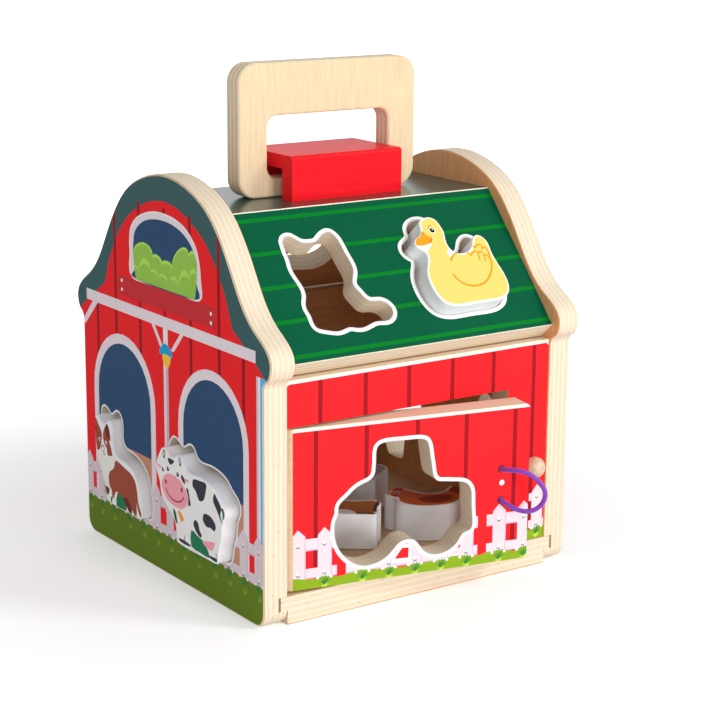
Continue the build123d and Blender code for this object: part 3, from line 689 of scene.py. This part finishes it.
# ---- Printed door ------------------------------------------------------------------------
# The door hangs on two steel pins at its left edge and stands ajar. Its red planks, fence
# and grass carry on from the wall, and its hole takes a tractor.
door_left = -71.2
door_corner = on_door(door_left, wall_front, 0) * 1000
door_along = (math.cos(door_ajar), math.sin(door_ajar), 0)
door_field = (0, 125, 8, 85.8)
door_plank_top, door_plank_line = 85.4, 1.05
door_print = rounded_bar(*door_field, 3.2, "red", "frame", field_edge)
door_print += planks((14.7, 38.5, 63, 87, 111.4), door_plank_top, door_plank_line)
door_pickets = (6.4, 18.8, 37, 49.8, 62.6, 75.3, 88.1, 104.4, 117)
door_print += fence(door_pickets, [(3.5, 24.8), (29.1, 93.7), (98.2, 119.2)], tip=41.3,
                    shoulder=38.2, rails=((31.5, 37), (18.7, 23.4)))
door_print += meadow(0, 121, 18.8, 12, [(u, 16.4) for u in door_pickets[1:]],
                     [(u, 14.5) for u in door_pickets[1:]], 11)
door_print.append(("white", [(51, 20.5), (55.2, 28.6), (60.6, 28.6), (60.6, 20.5)]))
door_print.append(("red", [(52.6, 22.3), (56.2, 27), (59.5, 26.8), (59.3, 22)]))
door_print.append(("white", disc(105.4, 51.4, 1.3)))
print_film("door_print", "door", "door", door_corner, door_along, (0, 0, 1),
           door_print, base="bare_and_highlight")

# ---- Printed roof ------------------------------------------------------------------------
# Two slopes and a flat top, printed dark green and sanded bare at the slopes' edges, where the
# bare wood is inked pale as a painted highlight; stripes mark five courses. The front slope has
# a cat's and a duck's hole, the back one a hen's and a rabbit's.
inks.update({"roof_green": (0, 86, 56), "roof_stripe": (0, 122, 36), "roof_top": (28, 74, 64)})
course_half, course_pitch, first_course, stripe_width = 73, 17, 3.5, 2
courses = []
for row in range(5):
    stripe_top = -first_course - course_pitch * row
    stripe = bar(-course_half, course_half, stripe_top - stripe_width, stripe_top)
    courses.append(("roof_stripe", stripe))
# Pale strips at the fold and the eave: bare wood with a painted highlight.
for low, high in ((-0.5, 1), (-78, -75.6)):
    courses.append(("bare_and_highlight", bar(-course_half, course_half, low, high)))
roof_up = Vector((0, math.cos(slope_lean), math.sin(slope_lean)))
print_film("front_slope_print", "roof_front_panel", "barn", fold_front, (1, 0, 0),
           roof_up, courses, base="roof_green", rims=2)
print_film("back_slope_print", "roof_back_panel", "barn", fold_back, (-1, 0, 0),
           (0, -roof_up.y, roof_up.z), courses, base="roof_green", rims=2)
roof_lacquer = ink_finish("roof_lacquer", 0.2, 0.8)
print_film("roof_top_print", "roof_top_panel", "barn", (0, 0, fold_level),
           (1, 0, 0), (0, 1, 0), [], base="roof_top", rims=0, finish=roof_lacquer)

# ---- Shape blocks ------------------------------------------------------------------------
# Thick wooden animals, painted white all over and printed on one side. Each fits the hole of
# its own outline; three stand in their holes and three lie inside.
block_thickness = 17
block_white = Finish("block_paint", Roughness=0.42)
block_fibre = block_white.noise(block_white.stretched((1, 1, 1)), 160.0)
block_tone = block_white.spread(block_fibre, 0.35, 0.7)
block_white.set(block_white.surface, "Base Color",
                block_white.between(block_tone, paint(246, 247, 250), paint(238, 239, 243)))
block_white.set(block_white.surface, "Specular IOR Level", 0.35)
block_white.bump(block_fibre, 0.1, 0.0002)
for animal in ("dog", "cow", "duck", "horse", "hen", "rabbit"):
    boards[animal + "_block"].data.materials[0] = block_white.material

# ---- Printed dog -------------------------------------------------------------------------
# A brown dog with a cream chest stands in the left gable. It is a block of wood, painted
# white, with its face printed on the paint.
inks.update({
    "dog_brown": (168, 82, 62), "dog_dark": (108, 56, 48), "cream": (248, 246, 238),
    "dog_red": (226, 52, 60), "dog_green": (40, 128, 90), "muzzle_grey": (168, 158, 160),
})
dog_print = [
    ("dog_brown", smooth([
        (-63.6, 61.7), (-62.1, 62.1), (-60, 59.9), (-58, 57.9), (-56.4, 55.4), (-57, 51.5),
        (-58.5, 47.8), (-60.3, 46.5), (-62.8, 47.6), (-63.8, 54.4)])),
    ("dog_brown", smooth([
        (-51.3, 61.6), (-49.4, 60.4), (-48.2, 57.8), (-47.5, 54.7), (-48.9, 53.5), (-47.3, 50.6),
        (-46.2, 46.8), (-50.9, 46.4), (-51.6, 49.5), (-53.7, 50.7), (-55.2, 54.4), (-54.2, 58)])),
    ("dog_dark", smooth([(-63.6, 60.3), (-61.9, 57.4), (-61.5, 57.1), (-63, 56.3)], 2)),
    ("dog_dark", smooth([
        (-51.3, 61.4), (-52.8, 59.1), (-52.4, 57.2), (-50.2, 54.6), (-48.2, 57.4),
        (-49.4, 60.2)])),
    ("cream", smooth([
        (-61.6, 45.4), (-56.1, 44.5), (-51.4, 45.7), (-45, 46.9), (-43.8, 44.9), (-45.6, 41.5),
        (-49.2, 38.6), (-50.6, 35.3), (-49.5, 30.6), (-51.3, 30.1), (-55, 32.5), (-58.6, 37)])),
    ("dog_dark", smooth([(-53.4, 30.2), (-49.8, 29.7), (-50.6, 27), (-51.9, 26.2), (-52.9, 27.6)])),
    ("dog_green", smooth([
        (-41.6, 29.8), (-37.8, 29.8), (-34.5, 29.2), (-32.9, 25.4), (-33.8, 22.6),
        (-42.7, 22.9)], 2)),
    ("dog_green", [(-48.4, 26.4), (-46.8, 26.2), (-47.3, 23.6), (-48.8, 23.4)]),
    ("dog_brown", smooth([
        (-42.5, 45.6), (-33.9, 44.2), (-27.4, 42.6), (-23.4, 39.6), (-22, 35.1), (-22.6, 30),
        (-22.9, 23.4), (-25.7, 23.9), (-29.7, 26.9), (-34.6, 28.4), (-38.7, 29.4), (-42.8, 30.1),
        (-45.5, 26.3), (-46.8, 25.9), (-47.5, 29.5), (-49.5, 31.4), (-50.2, 35), (-49.2, 38.2),
        (-44.8, 41.4)])),
    ("dog_brown", smooth([
        (-22, 35.9), (-21, 30.5), (-17.6, 24.5), (-19.6, 24.3), (-21.9, 27.8), (-22.9, 32.4)])),
    ("dog_dark", smooth([
        (-35.8, 28.9), (-32, 29.5), (-28.1, 26.5), (-27.4, 23), (-29.8, 23.1), (-33, 25.5)])),
    ("muzzle_grey", disc(-55.7, 48.4, 1.9)),
    ("white", disc(-55.7, 48.1, 1.25)),
    ("dog_red", disc(-54.5, 45.9, 0.7, 10)),
    ("dog_red", disc(-55.4, 47.2, 0.35, 8)),
]
for u, v in ((-58.9, 52.3), (-52.1, 52.1)):
    dog_print += [("white", disc(u, v, 1)), ("navy", disc(u + 0.15, v - 0.1, 0.55, 10))]
dog_face = -88.8
print_film("dog_print", "dog_block", "dog", (dog_face, 0, 0), (0, -1, 0),
           (0, 0, 1), dog_print, base="white")

# ---- Printed cow -------------------------------------------------------------------------
# A white cow with slate patches, a pink muzzle and udder and a bell stands beside the dog.
# Like the dog's, its face is printed on the paint.
inks.update({
    "cow_dark": (64, 62, 75), "cow_pink": (255, 172, 184), "cow_grey": (236, 234, 238),
    "cow_red": (180, 42, 60), "bell": (255, 166, 34), "collar_green": (34, 92, 70),
    "black": (34, 30, 34),
})


def eye(u, v, radius, ring=0):
    """A black eye with a white glint, and a white ring where one is asked for."""
    drawn = [("white", disc(u, v, radius + ring))] if ring else []
    return drawn + [("black", disc(u, v, radius)),
                    ("white", disc(u + radius * 0.3, v + radius * 0.35, radius * 0.32, 8))]


def stroke(points, width):
    """A line of even width through the points."""
    line = smooth(points, closed=False)
    left, right = [], []
    for before, spot, after in zip([line[0]] + line[:-1], line, line[1:] + [line[-1]]):
        lean = Vector((after[1] - before[1], before[0] - after[0])).normalized() * width / 2
        left.append((spot[0] + lean.x, spot[1] + lean.y))
        right.append((spot[0] - lean.x, spot[1] - lean.y))
    return left + right[::-1]


cow_print = [
    ("cow_dark", smooth([(10.9, 60.8), (16.2, 60.9), (16.6, 60), (12.9, 58)], 2)),
    ("cow_dark", [(7.2, 63.9), (8.3, 63.8), (8.9, 61.6), (8, 59.7), (6.5, 60.2), (6.4, 62.3)]),
    ("cow_grey", [(7.4, 63.2), (8, 63.1), (8.2, 61.6), (7.6, 60.5), (7, 60.8), (7, 62.2)]),
    ("cow_dark", [(21.2, 63.8), (22.4, 63.7), (23.4, 61.6), (22.8, 59.6), (21.2, 59.9), (20.9, 62)]),
    ("cow_grey", [(21.5, 63.1), (22.1, 63), (22.7, 61.5), (22.3, 60.4), (21.7, 60.6), (21.5, 62)]),
    ("cow_pink", smooth([(0.9, 55.9), (4.6, 55.4), (5, 54.5), (2.1, 54.3)])),
    ("cow_pink", smooth([(25.7, 54.8), (29.7, 55), (29.3, 54.1), (26.1, 53.4)])),
    ("cow_dark", smooth([(5.8, 55.1), (7.4, 54), (6.6, 53.2), (5.4, 53.9)])),
    ("cow_dark", smooth([(23.7, 56), (26.1, 54.3), (26, 52.2), (22.9, 54.3)])),
    ("cow_dark", smooth([
        (27.2, 50.6), (29.2, 50.5), (30.3, 47.1), (31.2, 44), (29, 43.2), (29.1, 46.8)])),
    ("cow_pink", smooth([
        (11.1, 53.4), (7.4, 51.5), (5, 47.5), (6.3, 44), (10.3, 40.8), (17.6, 39.4), (23.3, 39.9),
        (27.4, 42.5), (28.9, 45.9), (26.8, 49.5), (22, 52.8), (16.4, 53.8)])),
    ("cow_dark", smooth([
        (33.2, 55.8), (34.5, 56.9), (39.5, 57.4), (44.8, 57.4), (44.5, 53.4), (42.9, 49.7),
        (40.5, 48.2), (38.2, 48.4), (35.9, 51.5), (33.2, 53.3)])),
    ("cow_dark", smooth([
        (51.8, 54.9), (54, 53.9), (57, 50.7), (57.7, 48.9), (56.9, 46.2), (59.1, 42.3),
        (56.9, 44.1), (53.9, 47.8), (50.9, 51.1)])),
    ("cow_dark", smooth([
        (43.9, 43.5), (48.5, 43.4), (52.3, 41.2), (52.8, 38.9), (51.4, 37.5), (48.4, 38.1),
        (44.5, 37.8), (41.9, 39.9), (42.2, 42.3)])),
    ("cow_dark", smooth([
        (34.8, 38), (37.5, 37.4), (39, 34.1), (40.7, 32.5), (39.7, 31.2), (36.6, 32.2),
        (33.5, 35.5)])),
    ("cow_dark", smooth([(59.5, 41.2), (60.9, 40), (59.4, 36.9), (58.1, 38.8)])),
    ("dog_green", smooth([(57.7, 49.7), (60.7, 49.7), (61.8, 47.6), (59.1, 44.8), (58.8, 47.1)])),
    ("bell", smooth([
        (20.4, 38.7), (22.4, 37.8), (24.8, 35.5), (24, 34.5), (22.7, 33.7), (21.6, 35),
        (19.8, 37.1)])),
    ("collar_green", smooth([(15.3, 38), (17.6, 36.9), (19, 32.2), (17.4, 32.2), (15.9, 35.1)])),
    ("dog_green", smooth([
        (31.5, 32.4), (36.6, 31.3), (42.4, 30.1), (45.1, 28), (47, 25.2), (46.2, 23.7),
        (38.8, 24), (31.3, 24.8)], 2)),
    ("cow_pink", smooth([
        (42, 30.2), (51.3, 32.3), (51.7, 30.8), (49.7, 28.1), (47.4, 27.6), (45.1, 28),
        (42.4, 28.9)])),
    ("cow_dark", smooth([
        (20.1, 25.3), (24.5, 25.7), (30.5, 25), (30.1, 24.2), (25.3, 23.9), (21.3, 24.2)])),
    ("cow_dark", smooth([
        (47, 25), (52.7, 25.3), (58.4, 24.9), (58, 24), (52.7, 23.6), (47.3, 24.1)])),
    ("cow_dark", stroke([(25.4, 28.1), (25.45, 27), (25.5, 25.8)], 0.5)),
    ("cow_dark", stroke([(52.9, 27.8), (53, 26.8), (53.1, 25.6)], 0.5)),
    *[("cow_red", disc(u, v, 0.9, 12, 1.3)) for u, v in ((8.9, 49.1), (23.3, 48.9))],
    ("cow_red", stroke([
        (8.8, 46.2), (11.2, 43.6), (15.3, 42.2), (20.1, 42.4), (23.4, 44), (25.1, 45.9)], 0.7)),
]
cow_print += eye(11, 55.6, 1.1) + eye(19.9, 55.2, 1.1)
cow_face = -90.5
print_film("cow_print", "cow_block", "cow", (cow_face, 0, 0), (0, -1, 0),
           (0, 0, 1), cow_print, base="white")

# ---- Printed duck ------------------------------------------------------------------------
# A yellow duckling sits in the front slope, its face 8 mm above the print. Its wing is drawn
# in orange line.
inks.update({
    "duck_yellow": (246, 212, 114), "duck_orange": (255, 158, 34), "duck_line": (250, 156, 20),
    "duck_red": (236, 92, 46),
})
duck_proud = 8
duck_face = fold_front + front_slope_out * duck_proud
duck_print = [
    ("white", smooth([
        (26, -35.2), (27.7, -34.2), (30.4, -34.6), (32.9, -36.2), (29.6, -37), (26.9, -38.8),
        (25.9, -37.3)], 2)),
    ("white", smooth([
        (9.1, -29.6), (10.6, -31.4), (13, -33.4), (13.8, -36.4), (14.6, -35.4), (16.1, -34),
        (19.4, -30.9), (17.6, -29.7), (13.4, -30.2)], 2)),
    ("duck_orange", smooth([
        (17.4, -23.6), (14.8, -25.7), (10.3, -27.3), (9.8, -29.8), (13.6, -31.1), (18.8, -30.4),
        (20.7, -28.9), (20.9, -27.4), (18.7, -25.9)])),
    ("duck_red", smooth([(18.4, -30.2), (20.4, -29.1), (20.8, -27.5), (20.2, -28.4)])),
    ("duck_red", disc(17.3, -25.1, 0.4, 8)),
    ("white", disc(16.2, -22.4, 1.1, 12, 1.2)),
    ("duck_red", disc(16.2, -22.7, 0.5, 10, 1.5)),
]
duck_lines = (
    (0.62, [(21.2, -22.8), (22.3, -21.5), (23.8, -21.6)]),
    (0.88, [(25.7, -40.6), (27, -38.9), (29.4, -37.3), (32.5, -36.5), (35.1, -36.8),
            (36.9, -37.7), (38, -39.1)]),
    (0.75, [(36.5, -36.6), (38.1, -34.9), (40.2, -33.8), (41.3, -34.4), (41.6, -35.7)]),
    (0.75, [(41.6, -35.7), (43.2, -34.4), (45, -33.9), (45.9, -34.9), (45.6, -36.8)]),
    (0.75, [(46.1, -36), (47.4, -35.7), (48.1, -37.1), (48.1, -39.3), (47.6, -40.9)]),
    (0.75, [(38, -39.1), (39.4, -37.8), (41.3, -37.2), (42, -38.1), (41.9, -39.8),
            (41.5, -41.9)]),
    (0.75, [(42.3, -38.4), (43.6, -37.7), (44.7, -38.2), (44.9, -40.2), (44.3, -43.1)]),
    (0.75, [(45.5, -39.6), (46.8, -40.2), (47.4, -41.8)]),
    (0.94, [(23.7, -47.2), (24.4, -49.4), (26, -51.7), (28.3, -53.4), (31.8, -54.5),
            (35.6, -54.4), (39.4, -53.2), (42.9, -50.6), (45.8, -47.1), (47.2, -43.9),
            (47.5, -40.9)]),
)
duck_print += [("duck_line", stroke(points, width)) for width, points in duck_lines]
duck_print += eye(23, -23.8, 1.3, 0.4)
print_film("duck_print", "duck_block", "duck", duck_face, (1, 0, 0), roof_up,
           duck_print, base="white", inside="duck_yellow", border=0.5)

# ---- Printed horse, hen and rabbit -------------------------------------------------------
# Three blocks of the same make lie loose inside on the base, face up. They show through the
# holes and beside the door.
inks.update({
    "horse_brown": (186, 116, 66), "horse_mane": (104, 62, 40), "hen_red": (214, 104, 56),
    "hen_comb": (222, 40, 48), "hen_wing": (160, 62, 40), "rabbit_grey": (190, 184, 202),
    "rabbit_pink": (255, 180, 196),
})
lying_gap = 0.3
lying_face = base_thickness + lying_gap + block_thickness


def lying_print(animal, place, turn, drawn, inside):
    """Lays a drawing that is centred on its block's outline on the top of the block."""
    angle = math.radians(turn)
    along = (math.cos(angle), math.sin(angle), 0)
    up = (-math.sin(angle), math.cos(angle), 0)
    print_film(animal + "_print", animal + "_block", animal, (*place, lying_face),
               along, up, drawn, base="white", inside=inside)


horse_print = [
    ("white", smooth([(-5.4, -21), (-4.6, -13), (1, -10.4), (6.4, -13), (7.2, -21)])),
    ("horse_mane", smooth([
        (-10.2, 17.4), (-7.4, 15.6), (-4.4, 8.6), (1.4, 5), (-2.8, 3.4), (-8.2, 8.4)])),
    ("horse_mane", smooth([(17.4, 3), (18.4, -4), (17.6, -12.5), (15.4, -12), (15.8, -4)])),
    ("horse_mane", bar(-14.6, -6.2, -18, -15.4)),
    ("horse_mane", bar(8, 16.4, -17.6, -15)),
    ("horse_mane", disc(-17.6, 6.4, 0.8, 10)),
]
lying_print("horse", (-9, -30), -37, horse_print + eye(-13.4, 10.4, 1.1), "horse_brown")

hen_print = [
    ("hen_comb", disc(-12, 15.2, 2.2, 12)),
    ("hen_comb", disc(-9.4, 14.2, 2, 12)),
    ("duck_orange", [(-19.4, 9.2), (-15.4, 11.2), (-15.6, 7.4)]),
    ("hen_comb", disc(-15.8, 5.4, 1.5, 10, 1.4)),
    ("hen_wing", smooth([
        (-6.8, -2.4), (2.2, -1.2), (9.4, -3.6), (6.4, -9.4), (-1.4, -11.6), (-6.4, -8.4)])),
    ("hen_wing", smooth([(12.4, 3), (17.2, 9), (18.6, 3.2), (14.6, -2.4)])),
]
lying_print("hen", (32, -44.5), -12, hen_print + eye(-12.4, 9.6, 1, 0.4), "hen_red")

rabbit_print = [
    *[("rabbit_pink", disc(u, 14.2, 1.7, 16, 3)) for u in (-8.6, 8.6)],
    *[("white", disc(u, -9.6, 3.6, 20, 0.8)) for u in (-2.9, 2.9)],
    ("rabbit_pink", disc(0, -7.4, 1.4, 12, 0.8)),
    ("white", bar(-1.5, 1.5, -15.6, -12.4)),
]
lying_print("rabbit", (22, 12), 40, rabbit_print + eye(-6, -3.6, 1.3) + eye(6, -3.6, 1.3),
            "rabbit_grey")

# ---- Bare wood and fittings --------------------------------------------------------------
# The carrying handle is birch plywood, oiled and rounded. It folds in a red painted bracket
# that is screwed down from below. Knob and dowels are beech; pins and screws are steel.
handle_thickness, handle_plies = 11, 7
boards["handle"].data.materials[0] = plywood(
    "handle_ply", (0, -1, 0), (0, -handle_thickness / 2, 0), handle_thickness, handle_plies,
    grain_up, light=(242, 228, 204), dark=(226, 202, 164), veneer=(236, 211, 172),
    inner_with_shade=(236, 211, 172))

bracket_paint = Finish("bracket_paint", Roughness=0.34)
bracket_grain = bracket_paint.noise(bracket_paint.stretched(grain_along), 700.0)
bracket_tone = bracket_paint.spread(bracket_grain, 0.3, 0.75)
bracket_paint.set(bracket_paint.surface, "Base Color",
                  bracket_paint.between(bracket_tone, paint(246, 26, 38), paint(228, 20, 32)))
bracket_paint.set(bracket_paint.surface, "Specular IOR Level", 0.08)
bracket_paint.bump(bracket_grain, 0.3, 0.0003)
boards["handle_bracket"].data.materials[0] = bracket_paint.material

beech = Finish("beech", Roughness=0.35)
beech_fibre = beech.noise(beech.stretched((0.1, 1, 1)), 600.0)
beech_tone = beech.spread(beech_fibre, 0.35, 0.7)
beech.set(beech.surface, "Base Color",
          beech.between(beech_tone, paint(222, 194, 168), paint(204, 172, 142)))
beech.set(beech.surface, "Coat Weight", 0.3)
beech.bump(beech_fibre, 0.2, 0.0002)
for piece in ("latch_knob", "knob_dowel", "joint_dowels"):
    boards[piece].data.materials[0] = beech.material

steel = Finish("zinced_steel", Metallic=1.0, Roughness=0.34)
steel_marks = steel.noise(steel.stretched((1, 1, 1)), 900.0)
steel.set(steel.surface, "Base Color",
          steel.between(steel_marks, paint(196, 198, 202), paint(160, 162, 168)))
steel.bump(steel_marks, 0.1, 0.0001)
for piece in ("hinge_pins", "bracket_screws"):
    boards[piece].data.materials[0] = steel.material
